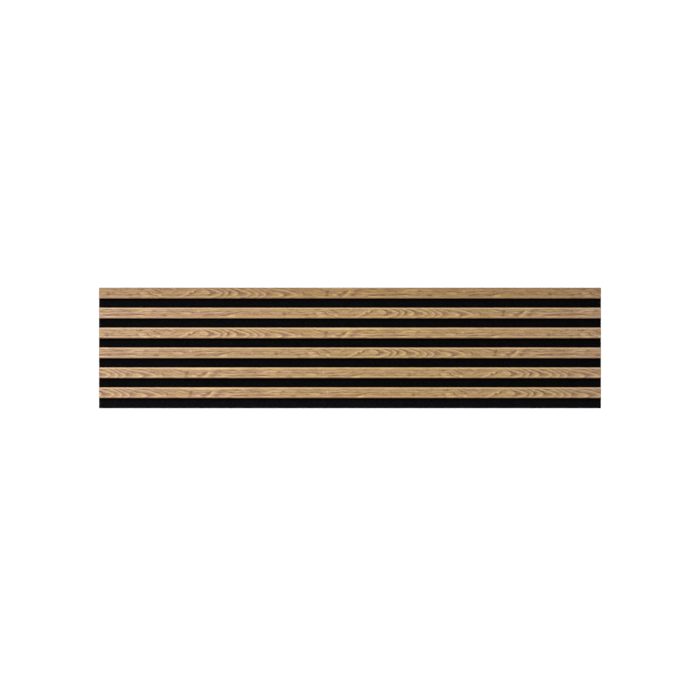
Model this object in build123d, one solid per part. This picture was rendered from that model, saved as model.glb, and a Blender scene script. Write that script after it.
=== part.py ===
from build123d import *
import math
import os

# Slatted wall panel: wood-faced slats glued and stapled to a black felt backing, in millimetres.
# The wall is the plane Y = 0 and the panel faces -Y. X runs along the slats and Z is up.
# The origin is the middle of the felt's back face.

# Panel
PANEL_LENGTH = 1250.0
SLAT_COUNT = 6
SLAT_GAP = 22.6
LOWER_MARGIN = 25.0  # bare felt below the last slat, where the next panel's first slat follows

# Felt backing
FELT_THICKNESS = 9.0

# Slat, a fibreboard bar wrapped in wood decor
SLAT_WIDTH = 27.0
SLAT_THICKNESS = 12.0
FRONT_EDGE_RADIUS = 1.5
BACK_EDGE_RADIUS = 0.5

# Staple, flat wire driven from the wall side
STAPLE_CROWN = 12.9
STAPLE_WIRE_THICKNESS = 0.65
STAPLE_WIRE_WIDTH = 0.95
STAPLE_BEND_BEVEL = 0.4  # outside of each bend
STAPLE_POINT_BEVEL = 0.2
CROWN_SINK = 0.5  # the crown pulls this far into the felt
TIP_COVER = 4.5  # wood left between a staple's points and the slat's face
STAPLE_PITCH = 200.0  # widest spacing along a slat
STAPLE_END_INSET = 25.0  # first and last staple, from the slat's ends

# Worked out from the sizes above
SLAT_PITCH = SLAT_WIDTH + SLAT_GAP
PANEL_HEIGHT = SLAT_COUNT * SLAT_WIDTH + (SLAT_COUNT - 1) * SLAT_GAP + LOWER_MARGIN
FIRST_SLAT_Z = PANEL_HEIGHT / 2 - SLAT_WIDTH / 2  # flush with the felt's upper edge
STAPLE_LEG = FELT_THICKNESS + SLAT_THICKNESS - CROWN_SINK - TIP_COVER
STAPLE_RUN = PANEL_LENGTH - 2 * STAPLE_END_INSET
STAPLE_GAPS = max(1, math.ceil(STAPLE_RUN / STAPLE_PITCH))


def slat_heights():
    """Z of each slat's middle, from the top slat down."""
    return [FIRST_SLAT_Z - row * SLAT_PITCH for row in range(SLAT_COUNT)]


def staple_stations():
    """X of each staple along a slat, evenly spaced between the two end insets."""
    step = STAPLE_RUN / STAPLE_GAPS
    return [-STAPLE_RUN / 2 + index * step for index in range(STAPLE_GAPS + 1)]


def felt_board():
    """The backing as it is cut, a flat board with its back on the wall."""
    return Pos(0, -FELT_THICKNESS / 2, 0) * Box(PANEL_LENGTH, FELT_THICKNESS, PANEL_HEIGHT)


def slat_bar(height):
    """One slat as it is wrapped and cut: a bar with eased front edges, its back on the felt."""
    middle = -FELT_THICKNESS - SLAT_THICKNESS / 2
    section = Pos(middle, height) * Rectangle(SLAT_THICKNESS, SLAT_WIDTH)
    section = fillet(section.vertices().group_by(Axis.X)[0], FRONT_EDGE_RADIUS)
    section = fillet(section.vertices().group_by(Axis.X)[-1], BACK_EDGE_RADIUS)
    return extrude(Plane.YZ * section, PANEL_LENGTH / 2, both=True)


def staple_outline():
    """The bent wire seen along its width: a crown on top, two legs with bevelled points below."""
    inside_width = STAPLE_CROWN - 2 * STAPLE_WIRE_THICKNESS
    outline = Rectangle(STAPLE_CROWN, STAPLE_LEG, align=(Align.CENTER, Align.MAX))
    outline -= Pos(0, -STAPLE_WIRE_THICKNESS) * Rectangle(
        inside_width, STAPLE_LEG, align=(Align.CENTER, Align.MAX)
    )
    outline = chamfer(outline.vertices().group_by(Axis.Y)[-1], STAPLE_BEND_BEVEL)
    return chamfer(outline.vertices().group_by(Axis.Y)[0], STAPLE_POINT_BEVEL)


def staples_in(height):
    """The row of staples behind one slat, with crowns towards the wall and legs towards the room."""
    wire = extrude(staple_outline(), STAPLE_WIRE_WIDTH / 2, both=True)
    return [Pos(x, -CROWN_SINK, height) * wire for x in staple_stations()]


def crown_slots(height):
    """The slots that the crowns leave in the felt's back as they pull in."""
    slot = Box(
        STAPLE_CROWN, CROWN_SINK, STAPLE_WIRE_WIDTH, align=(Align.CENTER, Align.MAX, Align.CENTER)
    )
    return [Pos(x, 0, height) * slot for x in staple_stations()]


def main():
    """Builds every piece and writes one STEP file for each."""
    os.makedirs("parts", exist_ok=True)
    staples = []
    slots = []
    for number, height in enumerate(slat_heights(), start=1):
        row = staples_in(height)
        export_step(slat_bar(height) - row, f"parts/slat_{number}.step")
        staples += row
        slots += crown_slots(height)
    export_step(felt_board() - (staples + slots), "parts/felt_backing.step")
    export_step(Compound(children=staples), "parts/rear_staples.step")


main()
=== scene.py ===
"""Dresses the slatted wall panel: oak-wrapped slats stapled to black needled felt.

The panel's back lies on the plane Y = 0 and its slats face -Y. X runs along the slats and Z is up.
Lengths are metres, apart from the print of the wrap, which is laid out in millimetres.
"""

import logging
import math
from dataclasses import dataclass
from enum import Enum

import bmesh
import bpy
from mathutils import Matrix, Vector, noise

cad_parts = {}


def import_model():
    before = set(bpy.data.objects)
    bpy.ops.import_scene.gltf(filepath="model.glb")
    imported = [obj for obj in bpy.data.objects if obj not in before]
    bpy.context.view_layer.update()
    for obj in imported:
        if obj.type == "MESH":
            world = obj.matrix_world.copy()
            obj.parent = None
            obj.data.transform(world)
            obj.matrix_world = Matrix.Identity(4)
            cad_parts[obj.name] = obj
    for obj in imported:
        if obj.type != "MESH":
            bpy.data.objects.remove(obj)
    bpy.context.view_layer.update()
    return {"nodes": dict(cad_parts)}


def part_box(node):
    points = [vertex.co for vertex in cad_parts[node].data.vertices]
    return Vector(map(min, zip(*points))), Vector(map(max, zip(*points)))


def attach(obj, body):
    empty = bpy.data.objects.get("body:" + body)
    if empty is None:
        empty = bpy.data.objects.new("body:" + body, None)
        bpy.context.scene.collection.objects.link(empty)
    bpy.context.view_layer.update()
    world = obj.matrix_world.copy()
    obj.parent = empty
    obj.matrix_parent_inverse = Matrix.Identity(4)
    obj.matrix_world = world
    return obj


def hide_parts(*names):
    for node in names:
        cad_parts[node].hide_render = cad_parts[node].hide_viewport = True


LOG = logging.getLogger("wall_panel")
BODY = "root"
MM = 0.001
PER_METRE = 1000.0
QUARTER_TURN = math.pi / 2
# Attributes of the slats: the place on the unrolled wrap, and how the wrap came out with the painted
# highlight or shade on its upper bend.
DECOR = "decor"
TONE = "tone"
# Noise lies evenly round this level, and most fine specks lie between these two.
EVEN = 0.5
SPECK_LEVELS = (0.2, 0.8)

Colour = tuple[float, float, float, float]
Pair = tuple[float, float]
Triple = tuple[float, float, float]


class Slot(Enum):
    """The record's material slots."""

    OAK = "oak_decor"
    FELT = "black_felt"
    STEEL = "staple_steel"


class Kind(Enum):
    """What a socket of a node group carries."""

    NUMBER = "NodeSocketFloat"
    COUNT = "NodeSocketInt"
    VECTOR = "NodeSocketVector"
    MATERIAL = "NodeSocketMaterial"
    GEOMETRY = "NodeSocketGeometry"


class Op(Enum):
    """The sums that the node trees use."""

    ADD = "ADD"
    SUBTRACT = "SUBTRACT"
    MULTIPLY = "MULTIPLY"
    DIVIDE = "DIVIDE"
    REMAINDER = "FLOORED_MODULO"
    ROOT = "SQRT"
    FLOOR = "FLOOR"
    FRACTION = "FRACT"
    SIZE = "ABSOLUTE"
    SIGN = "SIGN"
    SINE = "SINE"
    COSINE = "COSINE"
    GREATER = "GREATER_THAN"


class Blend(Enum):
    """How one colour is laid over another."""

    COVER = "MIX"
    TINT = "MULTIPLY"


class Reading(Enum):
    """What is read off a noise texture, by the number of its output."""

    LEVEL = 0
    SHIFT = 1


def paint(red: float, green: float, blue: float) -> Colour:
    """Turns a colour as seen on a screen into the linear colour that a shader takes, by the usual curve.

    Args:
        red: Level of red, 0 to 255.
        green: Level of green.
        blue: Level of blue.

    Returns:
        The linear colour, fully opaque.
    """
    levels = [level / 255 for level in (red, green, blue)]
    linear = [v / 12.92 if v <= 0.04045 else ((v + 0.055) / 1.055) ** 2.4 for v in levels]
    return (linear[0], linear[1], linear[2], 1.0)


class Term:
    """A value on its way through a node tree; sums written with plain signs become its nodes."""

    def __init__(self, graph: "Graph", socket: bpy.types.NodeSocket) -> None:
        """Keeps the output that carries the value, and the tree that it is in."""
        self.graph = graph
        self.socket = socket

    def __add__(self, other: "Feed") -> "Term":
        """Adds a value."""
        return self.graph.sum(Op.ADD, self, other)

    def __sub__(self, other: "Feed") -> "Term":
        """Takes a value away."""
        return self.graph.sum(Op.SUBTRACT, self, other)

    def __rsub__(self, other: float) -> "Term":
        """Is taken away from a plain number."""
        return self.graph.sum(Op.SUBTRACT, other, self)

    def __mul__(self, other: "Feed") -> "Term":
        """Multiplies by a value."""
        return self.graph.sum(Op.MULTIPLY, self, other)

    def __truediv__(self, other: "Feed") -> "Term":
        """Divides by a value."""
        return self.graph.sum(Op.DIVIDE, self, other)

    def __mod__(self, other: "Feed") -> "Term":
        """Gives what a division leaves over."""
        return self.graph.sum(Op.REMAINDER, self, other)


Feed = Term | bpy.types.Material | float | int | bool | str | tuple


class Graph:
    """Adds nodes to a node tree and wires them."""

    def __init__(self, tree: bpy.types.NodeTree) -> None:
        """Keeps the tree that the nodes go into."""
        self.tree = tree

    def node(
        self, kind: str, inputs: dict[str | int, Feed] | None = None, **settings: object
    ) -> bpy.types.Node:
        """Adds one node.

        Args:
            kind: Blender's name of the node's type.
            inputs: What goes into its sockets, by the socket's name or number.
            settings: Properties of the node itself.

        Returns:
            The new node.
        """
        made = self.tree.nodes.new(kind)
        for name, value in settings.items():
            setattr(made, name, value)
        for key, value in (inputs or {}).items():
            self.feed(made.inputs[key], value)
        return made

    def step(self, kind: str, inputs: dict[str | int, Feed] | None = None, **settings: object) -> Term:
        """Adds one node and gives its first output."""
        return Term(self, self.node(kind, inputs, **settings).outputs[0])

    def read(self, kind: str, output: str, **settings: object) -> Term:
        """Adds a node without inputs and gives one of its outputs by name."""
        return Term(self, self.node(kind, **settings).outputs[output])

    def feed(self, socket: bpy.types.NodeSocket, value: Feed) -> None:
        """Links a value to a socket, or sets the socket's own value.

        Args:
            socket: The input socket.
            value: A value from the tree, or a plain one.
        """
        if isinstance(value, Term):
            self.tree.links.new(value.socket, socket)
        else:
            socket.default_value = value

    def sum(self, operation: Op, *values: Feed) -> Term:
        """Works out one sum of numbers."""
        return self.step("ShaderNodeMath", dict(enumerate(values)), operation=operation.value)

    def move(self, operation: Op, *vectors: Feed) -> Term:
        """Works out one sum of vectors, part by part."""
        return self.step("ShaderNodeVectorMath", dict(enumerate(vectors)), operation=operation.value)

    def vector(self, *values: Feed) -> Term:
        """Joins three numbers into a vector."""
        return self.step("ShaderNodeCombineXYZ", dict(enumerate(values)))

    def parts(self, vector: Feed) -> list[Term]:
        """Splits a vector into its three numbers."""
        made = self.node("ShaderNodeSeparateXYZ", {0: vector})
        return [Term(self, socket) for socket in made.outputs]

    def cloud(
        self,
        place: Feed,
        scale: Feed = 1.0,
        detail: float = 2.0,
        roughness: float = 0.5,
        reading: Reading = Reading.LEVEL,
    ) -> Term:
        """Reads a noise texture.

        Args:
            place: Where it is read.
            scale: How many of its lumps go into one unit.
            detail: How many finer layers it has.
            roughness: How strong the finer layers are.
            reading: Whether its level is read or its three-way shift.

        Returns:
            The noise there, 0 to 1.
        """
        inputs = {"Vector": place, "Scale": scale, "Detail": detail, "Roughness": roughness}
        return Term(self, self.node("ShaderNodeTexNoise", inputs).outputs[reading.value])

    def span(self, value: Feed, source: Pair, target: Pair = (0.0, 1.0), smooth: bool = True) -> Term:
        """Carries a number from one range to another, and holds it at the ends.

        Args:
            value: The number.
            source: The range that it comes from.
            target: The range that it goes to.
            smooth: Whether it eases in and out.

        Returns:
            The number in its new range.
        """
        inputs = dict(enumerate((value, *source, *target)))
        kind = "SMOOTHSTEP" if smooth else "LINEAR"
        return self.step("ShaderNodeMapRange", inputs, interpolation_type=kind)

    def bump(self, value: Term, middle: float, reach: float) -> Term:
        """Gives a soft bump.

        Args:
            value: The number that it depends on.
            middle: Where the bump is 1.
            reach: How far from there it falls to 0.

        Returns:
            The bump's height, 0 to 1.
        """
        away = self.sum(Op.SIZE, value - middle)
        return self.span(away, (0.0, reach), (1.0, 0.0))

    def course(self, value: Feed, length: float, points: tuple[Pair, ...]) -> Term:
        """Follows a smooth line through a few points.

        Args:
            value: The place along the line, 0 to 1 over its length.
            length: The length that the points' places are given in.
            points: Place and height of each point, from 0 to the full length.

        Returns:
            The line's height there.
        """
        heights = [height for _, height in points]
        low, reach = min(heights), max(heights) - min(heights)
        made = self.node("ShaderNodeFloatCurve", {"Value": value})
        line = made.mapping.curves[0]
        while len(line.points) < len(points):
            line.points.new(0.5, 0.5)
        for point, (place, height) in zip(line.points, points):
            point.location = (place / length, (height - low) / reach)
            point.handle_type = "AUTO_CLAMPED"
        made.mapping.update()
        return Term(self, made.outputs[0]) * reach + low

    def steps(self, value: Feed, stops: tuple[Pair, ...]) -> Term:
        """Reads a number off a ramp of grey stops.

        Args:
            value: The place on the ramp, 0 to 1.
            stops: Place and level of each stop.

        Returns:
            The level there.
        """
        made = self.node("ShaderNodeValToRGB", {0: value})
        ramp = made.color_ramp
        while len(ramp.elements) < len(stops):
            ramp.elements.new(1.0)
        for element, (place, level) in zip(ramp.elements, stops):
            element.position = place
            element.color = (level, level, level, 1.0)
        return Term(self, made.outputs[0])

    def lay(self, share: Feed, under: Feed, over: Feed, blend: Blend = Blend.COVER) -> Term:
        """Lays one colour over another.

        Args:
            share: How much of the upper colour shows, held between 0 and 1.
            under: The lower colour.
            over: The upper colour.
            blend: How they mix.

        Returns:
            The mixed colour.
        """
        made = self.node("ShaderNodeMix", data_type="RGBA", blend_type=blend.value)
        sockets = {socket.identifier: socket for socket in (*made.inputs, *made.outputs)}
        self.feed(sockets["Factor_Float"], share)
        self.feed(sockets["A_Color"], under)
        self.feed(sockets["B_Color"], over)
        return Term(self, sockets["Result_Color"])

    def group(self, group: bpy.types.NodeTree, **inputs: Feed) -> dict[str, Term]:
        """Places a shader node group.

        Args:
            group: The group.
            inputs: What goes into its inputs, with underscores for blanks in their names.

        Returns:
            The group's outputs by name.
        """
        made = self.node("ShaderNodeGroup", node_tree=group)
        for name, value in inputs.items():
            self.feed(made.inputs[name.replace("_", " ").title()], value)
        return {socket.name: Term(self, socket) for socket in made.outputs}


class GroupTree(Graph):
    """A node group with named inputs and outputs."""

    def __init__(
        self, name: str, inputs: dict[str, Kind], outputs: dict[str, Kind], tree: str = "ShaderNodeTree"
    ) -> None:
        """Makes the group.

        Args:
            name: The group's name.
            inputs: Name and kind of each input.
            outputs: Name and kind of each output.
            tree: Blender's name of the tree's type.
        """
        super().__init__(bpy.data.node_groups.new(name, tree))
        for side, sockets in (("INPUT", inputs), ("OUTPUT", outputs)):
            for label, kind in sockets.items():
                self.tree.interface.new_socket(label, in_out=side, socket_type=kind.value)
        sources = self.node("NodeGroupInput").outputs
        self.given = {socket.name: Term(self, socket) for socket in sources if socket.name}
        self.results = self.node("NodeGroupOutput").inputs

    def put_out(self, **results: Feed) -> bpy.types.NodeTree:
        """Finishes the group.

        Args:
            results: What goes to its outputs, by name.

        Returns:
            The group's tree.
        """
        for name, value in results.items():
            self.feed(self.results[name], value)
        return self.tree


@dataclass(frozen=True)
class Grain:
    """Noise with long lumps on the print: their length and width, and how far it moves a value."""

    length: float
    width: float
    reach: float = 1.0
    detail: float = 1.0
    roughness: float = 0.5

    def level(self, graph: Graph, place: Term, reading: Reading = Reading.LEVEL) -> Term:
        """Reads the noise.

        Args:
            graph: The tree that it goes into.
            place: Where it is read, on the ring of the print.
            reading: Whether its level is read or its three-way shift.

        Returns:
            The noise there, 0 to 1.
        """
        lumps_per_mm = (1 / self.length, 1 / self.length, 1 / self.width)
        drawn = graph.move(Op.MULTIPLY, place, lumps_per_mm)
        return graph.cloud(drawn, detail=self.detail, roughness=self.roughness, reading=reading)

    def sway(self, graph: Graph, place: Term) -> Term:
        """Gives how far the noise moves a value there, up to half its reach either way."""
        return (self.level(graph, place) - EVEN) * self.reach


@dataclass(frozen=True)
class Streak:
    """One mark of the print, an ellipse in millimetres and degrees; a negative depth makes it pale."""

    along: float
    across: float
    reach: float
    spread: float
    depth: float
    turn: float = 0.0

    def mark(self, graph: Graph, ellipse: bpy.types.NodeTree, along: Term, across: Term) -> Term:
        """Places the mark.

        Args:
            graph: The tree that it goes into.
            ellipse: The group that draws an ellipse.
            along: Place along the print.
            across: Place across the slat.

        Returns:
            How much darker the print is there.
        """
        drawn = graph.group(
            ellipse,
            along=along,
            across=across,
            middle_along=self.along,
            middle_across=self.across,
            turn=math.radians(self.turn),
            reach=self.reach,
            spread=self.spread,
        )
        return drawn["Mask"] * self.depth


@dataclass(frozen=True)
class OakPrint:
    """The print of flat-sawn oak on the wrap, which repeats along the slats; all in millimetres."""

    repeat: float = 1100.0
    # Distance between rings above and below the figure's middle line, and the roundness of an arch's tip.
    upper_pitch: float = 7.0
    lower_pitch: float = 8.0
    tip_round: float = 5.5
    # How the lines bend along and across, how wavy and ragged they are, and how the rings drift.
    bend: Grain = Grain(75.0, 16.0)
    bend_along: float = 8.0
    bend_across: float = 1.6
    wave: Grain = Grain(24.0, 8.0, reach=4.4)
    ragged: Grain = Grain(11.0, 2.4, reach=1.8, detail=2.0)
    drift: Grain = Grain(42.0, 9.0, reach=0.24)
    # How unevenly the print came out: from ring to ring, from strand to strand, and towards a mark's rim.
    ring_share: Pair = (0.55, 1.0)
    fray: Grain = Grain(26.0, 0.9, detail=2.0)
    fray_levels: Pair = (0.32, 0.68)
    fray_share: Pair = (0.45, 1.55)
    mark_fade: Pair = (0.2, 1.0)
    # Fine fibre lines, and short open pores that crowd together in places.
    fibre: Grain = Grain(38.0, 1.2, detail=4.0, roughness=0.78)
    pore: Grain = Grain(5.0, 0.34)
    pore_levels: Pair = (0.54, 0.63)
    crowd: Grain = Grain(30.0, 4.0, reach=0.25)
    # Growth rings passed along the middle of the figure: a rise points the arches to the right.
    rings: tuple[Pair, ...] = (
        (0, 0.0), (100, 0.0), (121, 0.45), (133, 1.6), (148, 2.25), (158, 3.05), (234, 4.8), (277, 6.0),
        (308, 7.0), (321, 8.0), (349, 9.0), (380, 10.0), (397, 11.0), (417, 12.0), (462, 13.0),
        (511, 14.0), (1100, 14.0),
    )
    # Height of the figure's middle line above the slat's own.
    heart: tuple[Pair, ...] = (
        (0, -20.0), (150, -20.0), (185, 9.0), (240, 9.0), (270, 1.4), (300, -0.6), (327, 0.8), (350, -0.5),
        (403, -2.6), (425, -3.8), (455, -3.4), (515, -5.2), (570, -20.0), (1100, -20.0),
    )
    # How strongly the rings are printed.
    strength: tuple[Pair, ...] = (
        (0, 0.4), (95, 0.4), (115, 0.6), (155, 0.5), (175, 0.35), (235, 0.35), (275, 0.75), (430, 0.85),
        (490, 0.7), (530, 0.4), (1100, 0.4),
    )
    # How much closer the rings lie than inside the arches.
    closeness: tuple[Pair, ...] = (
        (0, 1.25), (95, 1.25), (130, 1.0), (515, 1.0), (600, 1.2), (1100, 1.25),
    )
    # Level through one ring, from its dark edge to its pale one.
    ring_levels: tuple[Pair, ...] = (
        (0.0, 0.85), (0.10, 1.0), (0.34, 0.66), (0.60, 0.54), (0.80, 0.10), (0.93, 0.0), (1.0, 0.85),
    )
    # The marks, each with its place along and across, reach, spread, depth and turn.
    # Fine straight grain at the start, then crossing marks on the way to the first arch.
    opening: tuple[Streak, ...] = (
        Streak(22, -2.5, 7, 5.0, 0.50), Streak(36, 0.8, 14, 1.8, 0.30, -4),
        Streak(55, 7.0, 6, 2.2, 0.28), Streak(62, 1.4, 12, 1.6, 0.26),
        Streak(75, -4.0, 18, 2.6, 0.24), Streak(98, -0.5, 6, 3.0, 0.34),
        Streak(105, 8.5, 13, 3.6, 0.30), Streak(110, -1.0, 11, 5.0, -0.36),
        Streak(120, -6.0, 10, 3.4, -0.40), Streak(128, -2.0, 10, 3.2, 0.46, -45),
        Streak(149, 2.6, 20, 2.6, 0.32, -19), Streak(152, -5.4, 8, 4.2, -0.46),
        Streak(160, 8.6, 14, 1.8, 0.34, -5), Streak(166, 4.6, 22, 2.0, -0.28, -5),
        Streak(171, -4.5, 22, 3.6, 0.30), Streak(180, 7.3, 8, 1.8, 0.38, -4),
        Streak(213, -4.0, 15, 3.0, -0.42, 20), Streak(216, -8.2, 12, 2.2, 0.42, 14),
        Streak(221, 1.2, 10, 2.6, -0.52, 40), Streak(225, -3.6, 10, 3.0, 0.26, 40),
        Streak(232, 4.2, 6, 3.2, -0.56), Streak(233, -1.6, 11, 2.8, 0.34, 30),
        Streak(239, 3.0, 7, 3.2, 0.30, 70), Streak(259, 4.4, 9, 2.6, -0.40, -10),
        Streak(274, 5.8, 12, 2.0, 0.36, -14), Streak(160, 10.4, 105, 2.6, 0.16),
    )
    # Dark blots inside the arches, and the slanting lines that run out of them.
    arches: tuple[Streak, ...] = (
        Streak(276, -4.0, 8, 2.2, 0.30), Streak(287, 0.4, 6, 4.0, 0.40),
        Streak(326, 0.5, 11, 4.4, 0.16, 80), Streak(347, 5.4, 7, 2.2, 0.30, -15),
        Streak(360, 0.0, 13, 5.0, 0.12), Streak(375, -0.5, 8, 2.6, -0.26, 80),
        Streak(452, -5.5, 10, 3.2, -0.30), Streak(459, -2.0, 11, 5.0, 0.28, -50),
        Streak(484, 8.4, 12, 2.0, 0.28, -10), Streak(499, 6.0, 7, 2.2, 0.42, -12),
        Streak(502, -2.6, 9, 4.0, -0.50), Streak(507, 3.6, 6, 2.4, 0.44, -20),
        Streak(511, -0.6, 7, 2.4, 0.30, 85),
    )
    # The knee where the grain turns, and the long lines behind it.
    knee: tuple[Streak, ...] = (
        Streak(538, 6.8, 9, 1.8, -0.28), Streak(552, 9.0, 9, 2.2, 0.52),
        Streak(566, -7.6, 9, 2.8, 0.36, 25), Streak(569, 3.6, 12, 4.8, 0.28, 35),
        Streak(568, -2.2, 13, 7.0, 0.24, 60), Streak(586, -4.0, 8, 4.0, -0.36),
        Streak(600, -3.6, 11, 3.2, 0.46, 8), Streak(601, 2.4, 7, 2.2, -0.30),
        Streak(607, -1.6, 13, 2.6, 0.34, 25), Streak(603, -8.4, 6, 2.2, 0.44),
        Streak(613, -6.4, 10, 3.4, -0.50, 48), Streak(616, 2.2, 11, 3.0, 0.54, 30),
        Streak(621, -1.4, 10, 3.0, -0.52, 48), Streak(626, 3.2, 7, 3.0, -0.52),
        Streak(634, -4.4, 11, 3.8, 0.50, 15), Streak(643, 2.4, 7, 2.4, 0.44),
        Streak(648, 7.4, 30, 1.9, 0.42, 2), Streak(662, -8.4, 10, 2.2, 0.44),
        Streak(666, 2.8, 26, 1.9, 0.42, -3), Streak(684, -0.7, 40, 1.6, -0.36),
        Streak(684, 8.8, 24, 1.7, 0.40, -4), Streak(690, -5.2, 36, 2.2, 0.44),
        Streak(690, -8.8, 22, 1.6, -0.32), Streak(735, 5.6, 28, 2.0, 0.42, -1),
        Streak(748, -4.0, 38, 1.9, 0.32, 4), Streak(757, 2.8, 14, 2.2, -0.30, 8),
        Streak(765, -6.0, 12, 2.2, -0.28), Streak(630, 13.6, 115, 4.4, -0.62),
    )
    # Dashes and the pinkish band before the print starts again.
    closing: tuple[Streak, ...] = (
        Streak(782, -8.2, 7, 2.0, 0.38), Streak(790, -2.0, 11, 2.2, 0.26, 45),
        Streak(798, 6.0, 8, 2.8, 0.32), Streak(822, -5.4, 13, 3.4, 0.48, -10),
        Streak(860, -1.6, 8, 2.0, 0.32), Streak(872, -7.6, 34, 2.8, 0.26),
        Streak(882, -1.8, 15, 2.2, -0.36, -4), Streak(895, 2.0, 7, 2.0, 0.42),
        Streak(909, 5.4, 5, 3.2, -0.46), Streak(925, 7.6, 14, 2.0, -0.34),
        Streak(928, 3.4, 20, 1.8, 0.38, 4), Streak(938, -6.2, 30, 4.4, 0.38),
        Streak(946, 7.6, 15, 2.2, -0.34), Streak(964, 1.6, 16, 1.9, -0.28, 4),
        Streak(968, -6.6, 14, 3.6, 0.34), Streak(986, -2.0, 12, 2.8, 0.54, 8),
        Streak(991, -7.0, 14, 3.6, -0.64, 10), Streak(1002, 0.4, 16, 1.8, 0.42, 8),
        Streak(1034, 1.8, 12, 1.8, 0.32), Streak(1065, -8.4, 9, 2.0, 0.34),
        Streak(1066, 5.2, 7, 3.0, 0.30), Streak(1079, 1.0, 13, 1.9, 0.32),
        Streak(880, -9.2, 105, 2.6, 0.26),
    )

    def place(self, graph: Graph, along: Term, across: Term) -> Term:
        """Bends the print round a ring as long as its repeat, so that noise read there has no seam.

        Args:
            graph: The tree that it goes into.
            along: Place along the print.
            across: Place across the slat.

        Returns:
            The place for noise, in millimetres: the ring lies in X and Y, and Z runs across.
        """
        radius = self.repeat / (2 * math.pi)
        angle = along / radius
        x = graph.sum(Op.COSINE, angle) * radius
        y = graph.sum(Op.SINE, angle) * radius
        return graph.vector(x, y, across)

    def ellipse_group(self) -> bpy.types.NodeTree:
        """Builds the group that draws one soft ellipse of the print.

        Returns:
            The group.
        """
        names = ("Along", "Across", "Middle Along", "Middle Across", "Turn", "Reach", "Spread")
        tree = GroupTree("print_mark", dict.fromkeys(names, Kind.NUMBER), {"Mask": Kind.NUMBER})
        given = tree.given
        half = self.repeat / 2
        away = (given["Along"] - given["Middle Along"] + half) % self.repeat - half
        up = given["Across"] - given["Middle Across"]
        sine = tree.sum(Op.SINE, given["Turn"])
        cosine = tree.sum(Op.COSINE, given["Turn"])
        lengthwise = (away * cosine + up * sine) / given["Reach"]
        crosswise = (up * cosine - away * sine) / given["Spread"]
        off = tree.sum(Op.ROOT, crosswise * crosswise + lengthwise * lengthwise)
        return tree.put_out(Mask=tree.span(off, self.mark_fade, (1.0, 0.0)))

    def figure_group(self) -> bpy.types.NodeTree:
        """Builds the group that draws the arches, lines and marks of the print, 0 pale to 1 dark.

        Returns:
            The group.
        """
        inputs = {"Along": Kind.NUMBER, "Across": Kind.NUMBER, "Place": Kind.VECTOR}
        tree = GroupTree("oak_figure", inputs, {"Figure": Kind.NUMBER})
        place = tree.given["Place"]
        shift = tree.parts(self.bend.level(tree, place, Reading.SHIFT))
        along = tree.given["Along"] + (shift[0] - EVEN) * self.bend_along
        across = tree.given["Across"] + (shift[1] - EVEN) * self.bend_across
        across = across + self.ragged.sway(tree, place) + self.wave.sway(tree, place)
        figure = self.ring_figure(tree, along, across)
        ellipse = self.ellipse_group()
        for streak in self.opening + self.arches + self.knee + self.closing:
            figure = figure + streak.mark(tree, ellipse, along, across)
        frayed = tree.span(self.fray.level(tree, place), self.fray_levels, self.fray_share)
        return tree.put_out(Figure=figure * frayed + EVEN)

    def ring_figure(self, tree: GroupTree, along: Term, across: Term) -> Term:
        """Draws the growth rings, which close to arches round the figure's middle line.

        Args:
            tree: The figure's group.
            along: Place along the print.
            across: Place across the slat.

        Returns:
            How much darker the rings make the print there.
        """
        turn = tree.sum(Op.FRACTION, along / self.repeat)
        rise = across - tree.course(turn, self.repeat, self.heart)
        off = tree.sum(Op.ROOT, rise * rise + self.tip_round**2) - self.tip_round
        above = tree.sum(Op.GREATER, rise, 0.0)
        per_mm = above * (1 / self.upper_pitch - 1 / self.lower_pitch) + 1 / self.lower_pitch
        ring = off * (per_mm * tree.course(turn, self.repeat, self.closeness))
        drift = self.drift.sway(tree, tree.given["Place"])
        ring = ring + tree.course(turn, self.repeat, self.rings) + drift
        rings_in_all = self.rings[-1][1] - self.rings[0][1]
        number = tree.sum(Op.FLOOR, ring) % rings_in_all
        chance = tree.step("ShaderNodeTexWhiteNoise", {"W": number}, noise_dimensions="1D")
        strength = tree.course(turn, self.repeat, self.strength)
        strength = strength * tree.span(chance, (0.0, 1.0), self.ring_share, smooth=False)
        return (tree.steps(tree.sum(Op.FRACTION, ring), self.ring_levels) - EVEN) * strength

    def pore_group(self) -> bpy.types.NodeTree:
        """Builds the group that draws the fine fibre lines and the short open pores.

        Returns:
            The group.
        """
        outputs = {"Fibre": Kind.NUMBER, "Pore": Kind.NUMBER}
        tree = GroupTree("oak_pores", {"Place": Kind.VECTOR}, outputs)
        place = tree.given["Place"]
        pore = self.pore.level(tree, place) + self.crowd.sway(tree, place)
        return tree.put_out(Fibre=self.fibre.level(tree, place), Pore=tree.span(pore, self.pore_levels))


def mottle_group() -> bpy.types.NodeTree:
    """Builds the group of coarse and fine mottling that felt, fibres, cut ends and wire share.

    Returns:
        The group.
    """
    inputs = {"Place": Kind.VECTOR, "Coarse": Kind.NUMBER, "Fine": Kind.NUMBER}
    tree = GroupTree("mottle", inputs, {"Lumps": Kind.NUMBER, "Specks": Kind.NUMBER})
    lumps = tree.cloud(tree.given["Place"], tree.given["Coarse"], detail=3.0)
    specks = tree.cloud(tree.given["Place"], tree.given["Fine"], detail=4.0, roughness=0.7)
    return tree.put_out(Lumps=lumps, Specks=specks)


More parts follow.
